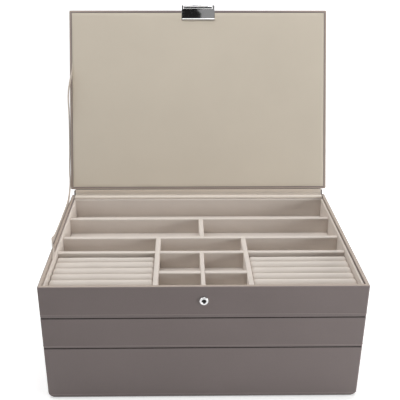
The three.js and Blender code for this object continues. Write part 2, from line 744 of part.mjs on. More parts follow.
function ribbonRoute() {
  const bowed = boxWidth / 2 + ribbonBow;
  const lidSlot = panelWidth / 2 + ribbonThickness;
  const traySlot = innerWidth / 2 - ribbonThickness;
  const points = ribbonLidShares.map(([outShare, runShare, slots, tucks]) => {
    const x = -lidSlot - (bowed - lidSlot) * outShare;
    const run = ribbonRun * runShare - ribbonSlotLength * slots;
    return onOpenLid(x, -run, lidUnderside - ribbonTuck * tucks);
  });
  for (const [outShare, runShare, slots, tucks] of ribbonWallShares) {
    const x = -traySlot - (bowed - traySlot) * outShare;
    const run = ribbonRun * runShare - ribbonSlotLength * slots;
    points.push(new THREE.Vector3(x, lidAxisDepth - run, rimHeight + ribbonTuck * tucks));
  }
  return new THREE.CatmullRomCurve3(points, false, 'centripetal');
}

function addRibbon() {
  const strip = stripAlong(ribbonRoute().getSpacedPoints(ribbonSteps), ribbonWidth, ribbonThickness);
  const reach = 2 * ribbonTuck;
  const lidRoom = block(boxWidth + 2 * ribbonFit, boxDepth, reach);
  lidRoom.translate(0, -boxDepth / 2, lidUnderside - ribbonFit);
  const wallRoom = block(boxWidth + 2 * ribbonFit, boxDepth, reach);
  wallRoom.translate(0, 0, rimHeight + ribbonFit - reach);
  const cell = block(innerWidth - ribbonFit, boxDepth, reach);
  cell.translate(0, 0, rimHeight - linerDrop + ribbonFit);
  lid.updateMatrixWorld();
  lidRoom.applyMatrix4(lid.matrixWorld);
  const trimmed = toSolid(strip).subtract(toSolid(lidRoom)).subtract(toSolid(wallRoom).subtract(toSolid(cell)));
  addPiece(jewelryBox, 'lid_ribbon', toGeometry(trimmed), satinMaterial());
}

// The velvet lining passes under the lid's rear edge, drops beside the spine and runs forward over the batten.
function addHingeLining() {
  const half = liningThickness / 2;
  const gap = lidRearGap + half;
  const underLid = onOpenLid(0, half, lidUnderside + liningThickness);
  const nearHinge = onOpenLid(0, half, lidUnderside / 2);
  const foldY = lidAxisDepth - gap;
  const wallTop = rimHeight + gap;
  const frontY = innerDepth / 2 - battenWidth;
  const line = new THREE.CatmullRomCurve3([
    underLid,
    nearHinge,
    new THREE.Vector3(0, foldY - liningThickness, lidAxisHeight - gap),
    new THREE.Vector3(0, foldY, lidAxisHeight - liningRise),
    new THREE.Vector3(0, foldY, wallTop + liningRise),
    new THREE.Vector3(0, foldY - liningRise, wallTop),
    new THREE.Vector3(0, (foldY + frontY) / 2, wallTop),
    new THREE.Vector3(0, frontY, wallTop),
  ], false, 'centripetal');
  const middle = line.getSpacedPoints(roundSteps);
  const upper = [];
  const lower = [];
  middle.forEach((point, k) => {
    const before = middle[Math.max(k - 1, 0)];
    const after = middle[Math.min(k + 1, middle.length - 1)];
    const tangent = after.clone().sub(before).normalize();
    const side = new THREE.Vector2(-tangent.z, tangent.y).multiplyScalar(half);
    upper.push(new THREE.Vector2(point.y + side.x, point.z + side.y));
    lower.unshift(new THREE.Vector2(point.y - side.x, point.z - side.y));
  });
  const section = new THREE.Shape([...upper, ...lower]);
  const strip = runAlongX(section, boxWidth - 2 * liningEndInset, 1);
  addPiece(jewelryBox, 'hinge_lining', strip, velvetMaterial());
}

addBottomTray();
addMiddleTray();
addTopTray();
addLidBoard();
addLidPanel();
addClaspBase();
addFlap();
addHingeLining();
addRibbon();

export default jewelryBox;
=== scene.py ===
import math
from types import SimpleNamespace as Look

import bmesh
import bpy
from mathutils import Matrix, Vector, noise
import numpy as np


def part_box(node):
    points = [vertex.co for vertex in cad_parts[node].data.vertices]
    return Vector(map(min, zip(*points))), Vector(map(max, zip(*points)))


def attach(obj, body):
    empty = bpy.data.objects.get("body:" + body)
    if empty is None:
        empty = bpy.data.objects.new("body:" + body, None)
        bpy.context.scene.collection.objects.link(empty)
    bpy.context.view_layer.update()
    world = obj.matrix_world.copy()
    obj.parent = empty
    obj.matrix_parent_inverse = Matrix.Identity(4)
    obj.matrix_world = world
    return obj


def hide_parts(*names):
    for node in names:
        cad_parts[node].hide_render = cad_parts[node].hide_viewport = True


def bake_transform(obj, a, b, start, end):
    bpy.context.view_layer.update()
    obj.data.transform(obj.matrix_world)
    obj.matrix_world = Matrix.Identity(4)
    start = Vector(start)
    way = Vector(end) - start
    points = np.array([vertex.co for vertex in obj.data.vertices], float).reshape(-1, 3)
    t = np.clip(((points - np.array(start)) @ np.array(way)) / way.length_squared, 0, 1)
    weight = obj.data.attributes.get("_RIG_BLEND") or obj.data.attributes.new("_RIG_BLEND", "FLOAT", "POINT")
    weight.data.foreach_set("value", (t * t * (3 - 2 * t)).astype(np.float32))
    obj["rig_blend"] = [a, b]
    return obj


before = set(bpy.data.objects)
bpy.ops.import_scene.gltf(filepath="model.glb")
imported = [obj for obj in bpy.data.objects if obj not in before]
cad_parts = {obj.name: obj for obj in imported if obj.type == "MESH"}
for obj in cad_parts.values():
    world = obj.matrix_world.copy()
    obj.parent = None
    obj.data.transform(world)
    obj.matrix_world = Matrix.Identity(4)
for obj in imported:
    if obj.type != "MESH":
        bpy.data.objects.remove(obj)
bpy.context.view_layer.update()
scene = bpy.context.scene
print("frame loaded")


# Camera

cameraLook = Look(
    lens=58.3618,
    place=(-0.023141, -0.724207, 0.5197),
    yaw=-0.74581,
    pitch=24.03595,
    roll=0.08679,
    shift=0.02503,
)


def turned(degrees, axis):
    return Matrix.Rotation(math.radians(degrees), 4, axis)


def facing(place, direction, axis):
    # stands at the place with the given axis along the direction
    return Matrix.Translation(place) @ direction.to_track_quat(axis, "Y").to_matrix().to_4x4()


def linked(name, data):
    made = bpy.data.objects.new(name, data)
    scene.collection.objects.link(made)
    return made


def addCamera(look):
    data = bpy.data.cameras.new("camera")
    data.lens = look.lens
    data.shift_x = look.shift
    camera = linked("camera", data)
    turn = turned(look.yaw, "Z") @ turned(90 - look.pitch, "X") @ turned(look.roll, "Z")
    camera.matrix_world = Matrix.Translation(look.place) @ turn
    scene.camera = camera


addCamera(cameraLook)
print("camera set")


# Shader nodes, written as expressions

class Wire:
    def __init__(self, graph, socket):
        self.graph = graph
        self.socket = socket

    def calc(self, operation, first, second=0.0):
        return self.graph.add("Math", {"operation": operation}, {0: first, 1: second})

    def __add__(self, other):
        return self.calc("ADD", self, other)

    def __radd__(self, other):
        return self.calc("ADD", other, self)

    def __sub__(self, other):
        return self.calc("SUBTRACT", self, other)

    def __rsub__(self, other):
        return self.calc("SUBTRACT", other, self)

    def __mul__(self, other):
        return self.calc("MULTIPLY", self, other)

    def __rmul__(self, other):
        return self.calc("MULTIPLY", other, self)

    def sine(self):
        return self.calc("SINE", self)

    def size(self):
        return self.calc("ABSOLUTE", self)


class Graph:
    def __init__(self, owner):
        self.owner = owner
        owner.use_nodes = True
        self.tree = owner.node_tree
        self.surface = self.tree.nodes.get("Principled BSDF")

    # any node: its type, its settings, then what goes into its sockets
    def add(self, kind, settings=None, inputs=None, out=0):
        node = self.tree.nodes.new("ShaderNode" + kind)
        for key, value in (settings or {}).items():
            if key == "stops":
                self.setStops(node.color_ramp, value)
            else:
                setattr(node, key, value)
        for key, value in (inputs or {}).items():
            self.feed(node.inputs[key], value)
        return Wire(self, node.outputs[out])

    def setStops(self, ramp, stops):
        while len(ramp.elements) < len(stops):
            ramp.elements.new(1)
        for element, (position, level) in zip(ramp.elements, stops):
            element.position = position
            element.color = (level, level, level, 1)

    def feed(self, socket, value):
        if isinstance(value, Wire):
            self.tree.links.new(value.socket, socket)
        else:
            socket.default_value = value

    def mix(self, share, first, second):
        return self.add("Mix", {"data_type": "RGBA"}, {0: share, 6: first, 7: second}, out=2)

    def ramp(self, value, stops):
        return self.add("ValToRGB", {"stops": stops}, {0: value})

    def place(self):
        return self.add("TexCoord", out="Object")

    def noise(self, place, scale, detail=2, roughness=0.5):
        values = {"Vector": place, "Scale": scale, "Detail": detail, "Roughness": roughness}
        return self.add("TexNoise", None, values)

    def vertexValue(self, name):
        return self.add("Attribute", {"attribute_name": name}, out="Fac")

    def bump(self, height, strength, distance):
        return self.add("Bump", None, {"Height": height, "Strength": strength, "Distance": distance})

    def dress(self, **values):
        for key, value in values.items():
            self.feed(self.surface.inputs[key.replace("_", " ")], value)
        return self.owner

    # the surface is what it is given, and no lamp is made of its glow
    def dressGlowing(self, surface):
        self.feed(self.tree.nodes["Material Output"].inputs["Surface"], surface)
        self.owner.cycles.emission_sampling = "NONE"
        return self.owner


def newGraph(name):
    return Graph(bpy.data.materials.new(name))


def changed(look, **values):
    return Look(**(vars(look) | values))


def rgb(red, green, blue):
    def linear(level):
        level = level / 255
        return level / 12.92 if level <= 0.04045 else ((level + 0.055) / 1.055) ** 2.4
    return (linear(red), linear(green), linear(blue), 1)


def shade(color, factor):
    return (color[0] * factor, color[1] * factor, color[2] * factor, 1)


# Materials

leatherLook = Look(
    color=rgb(130, 119, 117),
    grainScale=1150,
    creaseScale=260,
    poreScale=2530,
    cloudScale=14,
    roughness=0.52,
    bump=0.3,
    grainDepth=0.00012,
    edgeWear=0.3,
    wornShade=1.5,
    # the colour of the painted shade under the foot and round the lower trays' rims
    darkShade=0.06,
    rimColor=rgb(176, 162, 150),
)


def makeLeather(name, look):
    g = newGraph(name)
    place = g.place()
    grain = {"Vector": place, "Scale": look.grainScale}
    cells = g.add("TexVoronoi", {"feature": "DISTANCE_TO_EDGE"}, grain)
    pebbles = g.ramp(cells, [(0.0, 0.0), (0.22, 0.85), (1.0, 1.0)])
    creases = g.noise(place, look.creaseScale, detail=4, roughness=0.6)
    pores = g.noise(place, look.poreScale)
    clouds = g.noise(place, look.cloudScale, detail=3, roughness=0.55)
    wear = g.vertexValue("wear")
    rim = g.vertexValue("rim")
    foot = g.vertexValue("foot")
    base = look.color
    color = g.mix(clouds, shade(base, 0.93), shade(base, 1.07))
    color = g.mix(0.22 * (1 - pebbles), color, shade(base, 0.6))
    # lighter where marked: wear and a painted highlight on the edges, and a painted highlight along the seam
    color = g.mix(look.edgeWear * wear * (0.5 + 0.5 * creases), color, shade(base, look.wornShade))
    color = g.mix(rim * (0.8 + 0.2 * creases), color, look.rimColor)
    # painted shade: nearly black under the foot and round the lower trays' rims, where the trays meet
    color = g.mix(foot * (0.7 + 0.3 * creases), color, shade(base, look.darkShade))
    return g.dress(
        Base_Color=color,
        Roughness=look.roughness - 0.08 + 0.16 * creases,
        Normal=g.bump(0.6 * pebbles + 0.25 * creases + 0.15 * pores, look.bump, look.grainDepth),
        Specular_IOR_Level=0.4,
    )


velvetLook = Look(
    color=rgb(218, 209, 201),
    pileScale=2600,
    tuftScale=780,
    brushScale=34,
    roughness=0.95,
    bump=0.45,
    pileDepth=0.00025,
    sheen=0.1,
    pale=rgb(240, 231, 220),
)


def makeVelvet(name, look):
    g = newGraph(name)
    place = g.place()
    pile = g.noise(place, look.pileScale, detail=3, roughness=0.65)
    tufts = g.noise(place, look.tuftScale, detail=2, roughness=0.6)
    brushed = g.noise(place, look.brushScale, detail=4, roughness=0.6)
    base = look.color
    pale = g.vertexValue("pale")
    color = g.mix(brushed, shade(base, 0.94), shade(base, 1.06))
    # painted light: where marked, the velvet is paler, making up for shade it falls in
    color = g.mix(pale, color, look.pale)
    color = g.mix(0.3 * pile, color, shade(base, 0.84))
    return g.dress(
        Base_Color=color,
        Roughness=look.roughness - 0.1 * brushed,
        Normal=g.bump(0.6 * pile + 0.4 * tufts, look.bump, look.pileDepth),
        Sheen_Weight=look.sheen,
        Sheen_Roughness=0.5,
        Sheen_Tint=base,
        Specular_IOR_Level=0.15,
    )


chromeLook = Look(
    color=(0.7, 0.7, 0.7, 1),
    roughness=0.06,
    scratchScale=900,
    scratchStretch=(0.04, 1, 1),
    scratchDepth=0.00005,
    smearScale=120,
)


def makeChrome(name, look):
    g = newGraph(name)
    place = g.place()
    stretched = {"Vector": place, "Scale": look.scratchStretch}
    along = g.add("Mapping", {"vector_type": "POINT"}, stretched)
    scratches = g.noise(along, look.scratchScale, detail=3, roughness=0.7)
    smears = g.noise(place, look.smearScale, detail=3, roughness=0.6)
    base = look.color
    return g.dress(
        Base_Color=g.mix(0.4 * smears, base, shade(base, 0.9)),
        Metallic=1.0,
        Roughness=look.roughness + 0.05 * smears + 0.04 * scratches,
        Normal=g.bump(scratches, 0.03, look.scratchDepth),
    )


satinLook = Look(
    color=rgb(200, 190, 180),
    threads=160,
    picks=5600,
    weaveDepth=0.00004,
    mottleScale=60,
    roughness=0.36,
)


def makeSatin(name, look):
    g = newGraph(name)
    axes = g.add("SeparateXYZ", None, {0: g.add("UVMap", {"uv_map": "UVMap"})})
    across = Wire(g, axes.socket.node.outputs["Y"])
    mottle = g.noise(g.place(), look.mottleScale, detail=3, roughness=0.6)
    selvedge = g.ramp((2 * across - 1).size(), [(0.0, 0.0), (0.86, 0.0), (0.93, 1.0)])
    base = look.color
    color = g.mix(mottle, shade(base, 0.95), shade(base, 1.04))
    color = g.mix(0.3 * selvedge, color, shade(base, 0.8))
    weave = 0.6 * (across * look.threads).sine() + 0.4 * (axes * look.picks).sine()
    return g.dress(
        Base_Color=color,
        Roughness=look.roughness + 0.1 * mottle + 0.2 * selvedge,
        Normal=g.bump(weave, 0.1, look.weaveDepth),
        Sheen_Weight=0.2,
        Sheen_Roughness=0.4,
    )


feltLook = Look(color=rgb(84, 77, 74), fibreScale=900, fibreDepth=0.0003)


def makeFelt(name, look):
    g = newGraph(name)
    fibres = g.noise(g.place(), look.fibreScale, detail=5, roughness=0.8)
    base = look.color
    return g.dress(
        Base_Color=g.mix(fibres, shade(base, 0.65), shade(base, 1.3)),
        Roughness=0.9 + 0.1 * fibres,
        Normal=g.bump(fibres, 0.6, look.fibreDepth),
    )


socketLook = Look(color=rgb(44, 41, 41), grainScale=1800, grainDepth=0.00008)


def makeSocketPlastic(name, look):
    g = newGraph(name)
    grain = g.noise(g.place(), look.grainScale, detail=3, roughness=0.6)
    base = look.color
    return g.dress(
        Base_Color=g.mix(grain, shade(base, 0.85), shade(base, 1.15)),
        Roughness=0.5 + 0.15 * grain,
        Normal=g.bump(grain, 0.15, look.grainDepth),
    )


leather = makeLeather("leather", leatherLook)
velvet = makeVelvet("velvet", velvetLook)
panelVelvet = makeVelvet("panelVelvet", changed(velvetLook, color=rgb(212, 202, 186), brushScale=9))
chrome = makeChrome("chrome", chromeLook)
satin = makeSatin("satin", satinLook)
felt = makeFelt("felt", feltLook)
socketPlastic = makeSocketPlastic("socketPlastic", socketLook)
print("materials made")


# Sizes and tools that the pieces share

boxSize = Look(
    width=0.36,
    depth=0.25,
    rim=0.15,
    corner=0.002,
    wall=0.004,
    floor=0.003,
)
lidSize = Look(thickness=0.008, rimGap=0.0004, rearGap=0.0003, open=112)
halfWidth = boxSize.width / 2
halfDepth = boxSize.depth / 2
lidUnder = lidSize.rimGap - lidSize.thickness
hingeAxis = Vector((0, halfDepth, boxSize.rim + lidSize.thickness))
lidPlace = Matrix.Translation(hingeAxis) @ turned(-lidSize.open, "X")
touch = 1e-5      # closer than this is the same place
tiny = 1e-9       # keeps a length that is divided by above zero
cutReach = 0.1    # how far a cutter runs past the piece
sharpTurn = 1.2   # radians between two faces, past which their edge is rounded


def newObject(bm, name):
    mesh = bpy.data.meshes.new(name)
    bm.to_mesh(mesh)
    bm.free()
    return linked(name, mesh)


def cutAway(piece, cutter):
    cut = piece.modifiers.new("cut", "BOOLEAN")
    cut.operation = "DIFFERENCE"
    cut.solver = "EXACT"
    cut.object = cutter
    bpy.context.view_layer.update()
    graph = bpy.context.evaluated_depsgraph_get()
    result = bpy.data.meshes.new_from_object(piece.evaluated_get(graph))
    piece.modifiers.clear()
    piece.data = result
    bpy.data.objects.remove(cutter)


def makePiece(bm, name, body, material, node, place=None, sharp=40, cutters=()):
    bmesh.ops.recalc_face_normals(bm, faces=bm.faces)
    piece = newObject(bm, name)
    for cutter in cutters:
        cutAway(piece, cutter)
    if place:
        piece.data.transform(place)
    piece.data.shade_smooth()
    piece.data.set_sharp_from_angle(angle=math.radians(sharp))
    piece.data.materials.clear()
    piece.data.materials.append(material)
    if body:
        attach(piece, body)
    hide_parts(node)
    return piece


def newBox(low, high):
    low, high = Vector(low), Vector(high)
    bm = bmesh.new()
    verts = bmesh.ops.create_cube(bm, size=1)["verts"]
    bmesh.ops.scale(bm, vec=high - low, verts=verts)
    bmesh.ops.translate(bm, vec=(low + high) / 2, verts=verts)
    return bm


def newGrid(columns, rows, size=1):
    bm = bmesh.new()
    bmesh.ops.create_grid(bm, x_segments=columns, y_segments=rows, size=size / 2)
    return bm


def cutter(low, high):
    return newObject(newBox(low, high), "cutter")


def roundEdges(bm, edges, radius, segments):
    bmesh.ops.bevel(
        bm, geom=edges, offset=radius, offset_type="OFFSET", segments=segments,
        profile=0.5, affect="EDGES", material=-1, clamp_overlap=True,
    )


def near(value, target):
    return abs(value - target) < touch


def runs(edge, axis):
    return not near(edge.verts[0].co[axis], edge.verts[1].co[axis])


def edgesAt(bm, axis, *values):
    return [e for value in values for e in bm.edges if all(near(v.co[axis], value) for v in e.verts)]


def edgesAcross(bm, axis, value):
    return [e for e in edgesAt(bm, axis, value) if runs(e, 0)]


def sharpEdges(bm):
    return [e for e in bm.edges if len(e.link_faces) == 2 and e.calc_face_angle(0) > sharpTurn]


def uprightEdges(bm):
    return [e for e in bm.edges if runs(e, 2)]


def sliceAt(bm, axis, value):
    spot, normal = Vector((0, 0, 0)), Vector((0, 0, 0))
    spot[axis], normal[axis] = value, 1
    everything = bm.verts[:] + bm.edges[:] + bm.faces[:]
    bmesh.ops.bisect_plane(bm, geom=everything, plane_co=spot, plane_no=normal)


def vertsIn(made):
    return [v for v in made if isinstance(v, bmesh.types.BMVert)]


def edgesIn(made):
    return [e for e in made if isinstance(e, bmesh.types.BMEdge)]


def pushFaces(bm, faces, move):
    made = bmesh.ops.extrude_face_region(bm, geom=faces)["geom"]
    bmesh.ops.delete(bm, geom=[f for f in faces if f.is_valid], context="FACES_ONLY")
    bmesh.ops.translate(bm, vec=move, verts=vertsIn(made))


def pushEdges(bm, edges, move):
    made = bmesh.ops.extrude_edge_only(bm, edges=edges)["geom"]
    bmesh.ops.translate(bm, vec=move, verts=vertsIn(made))
    return edgesIn(made)


def spunShape(points, steps, axis="Y"):
    # points are (radius, distance along the axis), turned full circle
    bm = bmesh.new()
    direction = {"X": Vector((1, 0, 0)), "Y": Vector((0, 1, 0))}[axis]
    verts = [bm.verts.new(direction * along + Vector((0, 0, radius))) for radius, along in points]
    edges = [bm.edges.new(pair) for pair in zip(verts, verts[1:])]
    bmesh.ops.spin(
        bm, geom=verts + edges, cent=(0, 0, 0), axis=direction,
        angle=math.tau, steps=steps, use_merge=True,
    )
    bmesh.ops.remove_doubles(bm, verts=bm.verts, dist=touch)
    bmesh.ops.recalc_face_normals(bm, faces=bm.faces)
    return bm


puffLook = Look(scale=10, pressure=4, tension=15, bending=0.4, frames=20)


def clothCopy(bm, look, pinned):
    mesh = bpy.data.meshes.new("padding")
    bm.to_mesh(mesh)
    mesh.transform(Matrix.Scale(look.scale, 4))
    pad = linked("padding", mesh)
    pad.vertex_groups.new(name="pinned").add(pinned, 1, "REPLACE")
    cloth = pad.modifiers.new("padding", "CLOTH").settings
    cloth.vertex_group_mass = "pinned"
    cloth.use_pressure = True
    cloth.uniform_pressure_force = look.pressure
    cloth.tension_stiffness = cloth.compression_stiffness = look.tension
    cloth.bending_stiffness = look.bending
    cloth.effector_weights.gravity = 0
    return pad


def puffUp(bm, look, isPinned, cap):
    # the padding swells the cloth between its pinned seams, on a copy drawn ten times larger,
    # and no point moves further than the cap
    before = [v.co.copy() for v in bm.verts]
    pad = clothCopy(bm, look, [k for k, place in enumerate(before) if isPinned(place)])
    for step in range(1, look.frames + 1):
        scene.frame_set(step)
    swollen = pad.evaluated_get(bpy.context.evaluated_depsgraph_get())
    after = [v.co / look.scale for v in swollen.data.vertices]
    scene.frame_set(1)
    bpy.data.objects.remove(pad)
    moves = [new - old for old, new in zip(before, after)]
    for v, old, move in zip(bm.verts, before, moves):
        v.co = old + move * min(1, cap / max(move.length, tiny))
    reach = max(move.length for move in moves)
    print("cloth swelled", round(reach * 1000, 2), "mm, held to", round(cap * 1000, 2), "mm")


def markWearAndHighlight(bm, reach, most=1):
    # most along the outer edges and 0 further in: the leather is painted lighter there, partly wear and
    # partly a painted highlight on the edges
    layer = bm.verts.layers.float.new("wear")
    low = [min(v.co[k] for v in bm.verts) for k in range(3)]
    high = [max(v.co[k] for v in bm.verts) for k in range(3)]
    for v in bm.verts:
        second = sorted(min(v.co[k] - low[k], high[k] - v.co[k]) for k in range(3))[1]
        v[layer] = most * max(0, 1 - second / reach)


# Tray cases: leather over board, with a raised seam near the foot of each

caseLook = Look(
    edgeRound=0.001,
    edgeSegments=4,
    innerRound=0.0007,
    innerSegments=3,
    cornerSegments=8,
    cornerMerge=0.0003,
    footSteps=6,
    seamHalfWidth=0.0006,
    seamBulge=0.0003,
    seamWear=3,
    wearReach=0.0016,
    cornerReach=0.003,
    rimDark=0.9,
    rimShare=0.9,
)
trays = {
    "bottom": Look(
        base=0.001, height=0.069, seamHeight=0.0042,
        footRound=0.0065, footFront=0.1, footDark=0.0006,
    ),
    "middle": Look(
        base=0.07, height=0.04, seamHeight=0.0034,
        footRound=0.0013, footFront=1, footDark=0.0009,
    ),
    "top": Look(
        base=0.11, height=0.04, seamHeight=0.0049,
        footRound=0.0013, footFront=1, footDark=0.0009,
    ),
}


def onOuterFace(v):
    halfWall = boxSize.wall / 2
    return abs(v.co.x) > halfWidth - halfWall or abs(v.co.y) > halfDepth - halfWall


def hollowOut(bm, top, look):
    # the opening has square corners, unlike the case round it
    wall = boxSize.wall
    rim = max(bm.faces, key=lambda f: f.calc_center_median().z)
    bmesh.ops.inset_region(bm, faces=[rim], thickness=wall, use_even_offset=True)
    bmesh.ops.remove_doubles(bm, verts=bm.verts, dist=look.cornerMerge)
    opening = max(bm.faces, key=lambda f: f.calc_area() * (f.normal.z > 0))
    for v in opening.verts:
        v.co.xy = math.copysign(halfWidth - wall, v.co.x), math.copysign(halfDepth - wall, v.co.y)
    pushFaces(bm, [opening], (0, 0, boxSize.floor - top))


def roundRim(bm, top, look):
    rimEdges = edgesAt(bm, 2, top)
    outerRim = [e for e in rimEdges if all(onOuterFace(v) for v in e.verts)]
    innerRim = [e for e in rimEdges if not any(onOuterFace(v) for v in e.verts)]
    roundEdges(bm, outerRim, look.edgeRound, look.edgeSegments)
    roundEdges(bm, innerRim, look.innerRound, look.innerSegments)


def roundFoot(bm, size, look):
    radius, steps = size.footRound, look.footSteps
    for k in range(1, steps + 1):
        sliceAt(bm, 2, radius * (1 - math.cos(math.pi / 2 * k / steps)))
    for v in bm.verts:
        if v.co.z < radius and onOuterFace(v):
            inset = radius - math.sqrt(radius ** 2 - (radius - v.co.z) ** 2)
            v.co.x -= math.copysign(inset, v.co.x)
            v.co.y -= math.copysign(inset * size.footFront, v.co.y)


def raiseSeam(bm, height, look):
    for step in (-1, 0, 1):
        sliceAt(bm, 2, height + step * look.seamHalfWidth)
    straight = Vector((halfWidth - boxSize.corner, halfDepth - boxSize.corner))
    for v in bm.verts:
        if near(v.co.z, height) and onOuterFace(v):
            core = Vector([max(-straight[k], min(straight[k], v.co[k])) for k in (0, 1)])
            outward = (v.co.xy - core).normalized() * look.seamBulge
            v.co += Vector((outward.x, outward.y, 0))


def markCase(bm, tray, size, look):
    # only the corners and the seam are painted lighter, with wear and a painted highlight at the corners and
    # a painted highlight along the seam;
    # the leather is lighter over the walls, and painted shade darkens it under the foot and round the lower
    # trays' rims, where the trays meet
    top, cornerReach = size.height, look.cornerReach
    markWearAndHighlight(bm, look.wearReach)
    wear = bm.verts.layers.float["wear"]
    rim = bm.verts.layers.float.new("rim")
    foot = bm.verts.layers.float.new("foot")
    for v in bm.verts:
        outer = onOuterFace(v)
        atCorner = abs(v.co.x) > halfWidth - cornerReach and abs(v.co.y) > halfDepth - cornerReach
        v[wear] *= atCorner and v.co.z > size.footRound
        # a painted highlight along the raised seam
        if near(v.co.z, size.seamHeight) and outer:
            v[wear] = look.seamWear
        v[rim] = near(v.co.z, top) and (tray == "top" or not outer)
        # painted shade under the foot, and round the lower trays' rims
        v[foot] = v.co.z < size.footDark + touch
        if tray != "top" and outer and v.co.z > top - look.edgeRound * look.rimShare:
            v[foot] = look.rimDark


def makeCase(tray, size, look):
    top = size.height
    bm = newBox((-halfWidth, -halfDepth, 0), (halfWidth, halfDepth, top))
    roundEdges(bm, uprightEdges(bm), boxSize.corner, look.cornerSegments)
    hollowOut(bm, top, look)
    roundRim(bm, top, look)
    roundFoot(bm, size, look)
    sliceAt(bm, 2, size.footDark)
    raiseSeam(bm, size.seamHeight, look)
    markCase(bm, tray, size, look)
    place = Matrix.Translation((0, 0, size.base))
    return makePiece(bm, tray + "CaseLeather", tray + "_tray", leather, tray + "_case", place)


for tray, size in trays.items():
    makeCase(tray, size, caseLook)
print("cases made")


# Velvet boards: liners, dividers and floors, each with its own soft edges

boardLook = Look(
    dividerRound=0.0012,
    linerRound=0.0011,
    roundShare=0.46,
    topSegments=6,
    endRound=0.0005,
    endSegments=2,
    endClear=0.001,
    floorRound=0.0015,
    floorSegments=4,
    station=0.012,
    sway=0.00016,
    swayFrom=0.6,
    swayScale=45,
)


def swayTop(bm, run, low, high, look):
    # padded cloth over board is never quite straight along its top
    for v in bm.verts:
        share = (v.co.z - low.z) / (high - low).z
        lift = (share - look.swayFrom) / (1 - look.swayFrom)
        inside = min(v.co[run] - low[run], high[run] - v.co[run])
        if lift > 0 and inside > look.endClear:
            v.co.z -= look.sway * lift * (1 + noise.noise(v.co * look.swayScale))


def makeBoard(node, body, look, topRound):
    low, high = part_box(node)
    size = high - low
    run = 0 if size.x > size.y else 1
    across = 1 - run
    bm = newBox(low, high)
    topEdges = edgesAt(bm, 2, high.z)
    longTop = [e for e in topEdges if not runs(e, across)]
    roundEdges(bm, longTop, min(topRound, size[across] * look.roundShare), look.topSegments)
    ends = edgesAt(bm, run, low[run], high[run])
    roundEdges(bm, ends, look.endRound, look.endSegments)
    stations = max(2, round(size[run] / look.station))
    for k in range(1, stations):
        sliceAt(bm, run, low[run] + size[run] * k / stations)
    swayTop(bm, run, low, high, look)
    return makePiece(bm, node + "_velvet", body, velvet, node)


def makeFloor(node, body, look):
    low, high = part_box(node)
    bm = newBox(low, high)
    roundEdges(bm, edgesAt(bm, 2, high.z), look.floorRound, look.floorSegments)
    return makePiece(bm, node + "_velvet", body, velvet, node)


for node in sorted(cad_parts):
    body = node.split("_")[0] + "_tray"
    if "_liner_" in node:
        makeBoard(node, body, boardLook, boardLook.linerRound)
    elif "_divider_" in node:
        makeBoard(node, body, boardLook, boardLook.dividerRound)
    elif node.endswith("floor_pad"):
        makeFloor(node, body, boardLook)
makeBoard("hinge_batten", "top_tray", boardLook, boardLook.linerRound)
print("velvet boards made")


# Thin pads: locating pads, the felt underneath, and the leather spine behind the hinge

thinLook = Look(
    corner=0.004,
    cornerSegments=6,
    edgeRound=0.0007,
    edgeShare=0.4,
    edgeSegments=3,
    wearReach=0.001,
)


def makeThinPad(node, name, body, material, look):
    low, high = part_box(node)
    size = high - low
    bm = newBox(low, high)
    thin = min(range(3), key=lambda k: size[k])
    outline = [e for e in bm.edges if runs(e, thin)]
    roundEdges(bm, outline, look.corner, look.cornerSegments)
    edges = edgesAt(bm, thin, low[thin], high[thin])
    roundEdges(bm, edges, min(look.edgeRound, size[thin] * look.edgeShare), look.edgeSegments)
    if material is leather:
        markWearAndHighlight(bm, look.wearReach)
    return makePiece(bm, name, body, material, node)


makeThinPad("middle_locating_pad", "middleLocatingPad", "middle_tray", velvet, thinLook)
makeThinPad("top_locating_pad", "topLocatingPad", "top_tray", velvet, thinLook)
makeThinPad("base_felt", "baseFelt", "bottom_tray", felt, thinLook)
makeThinPad("hinge_spine", "hingeSpine", "top_tray", leather, thinLook)
print("thin pads made")


# Ring pads: six velvet rolls on one base, drawn in at their ends

ringLook = Look(
    grooves=(0.038, 0.049, 0.0628, 0.0762, 0.0892, 0.102, 0.1146),
    grooveDepth=0.0014,
    grooveSharp=8,
    rise=0.006,
    fullness=0.85,
    slack=0.93,
    uneven=0.05,
    unevenScale=30,
    unevenShift=3.1,
    endRun=0.0024,
    endDrop=0.0016,
    arcSteps=12,
    lengthSteps=30,
    seamHold=0.0009,
    swell=0.0008,
)


def closeUnderneath(bm, height):
    rim = [e for e in bm.edges if len(e.link_faces) == 1]
    for v in vertsIn(bmesh.ops.extrude_edge_only(bm, edges=rim)["geom"]):
        v.co.z = height
    bmesh.ops.holes_fill(bm, edges=[e for e in bm.edges if len(e.link_faces) == 1], sides=0)


def rollHeight(groove, toEnd, angle, place, look):
    inset = max(0, min(1, toEnd / look.endRun))
    drop = look.endDrop * (1 - math.sqrt(1 - (1 - inset) ** 2))
    swell = 1 + look.uneven * noise.noise(place)
    arch = max(0, math.sin(angle)) ** look.fullness
    rise = look.rise * swell * arch - look.grooveDepth * (1 - arch) ** look.grooveSharp
    return groove + rise * look.slack - drop


def shapeRolls(bm, low, high, groove, look, seed):
    grooves, arcSteps = look.grooves, look.arcSteps
    rolls = len(grooves) - 1
    for v in bm.verts:
        x = low.x + (high - low).x * (v.co.x + 0.5)
        step = round((v.co.y + 0.5) * rolls * arcSteps)
        roll = min(step // arcSteps, rolls - 1)
        front, rear = -grooves[rolls - roll], -grooves[rolls - roll - 1]
        angle = math.pi * (1 - (step / arcSteps - roll))
        y = (front + rear) / 2 + (rear - front) / 2 * math.cos(angle)
        place = Vector((x * look.unevenScale, roll * look.unevenShift + seed, 0))
        v.co = (x, y, rollHeight(groove, min(x - low.x, high.x - x), angle, place, look))


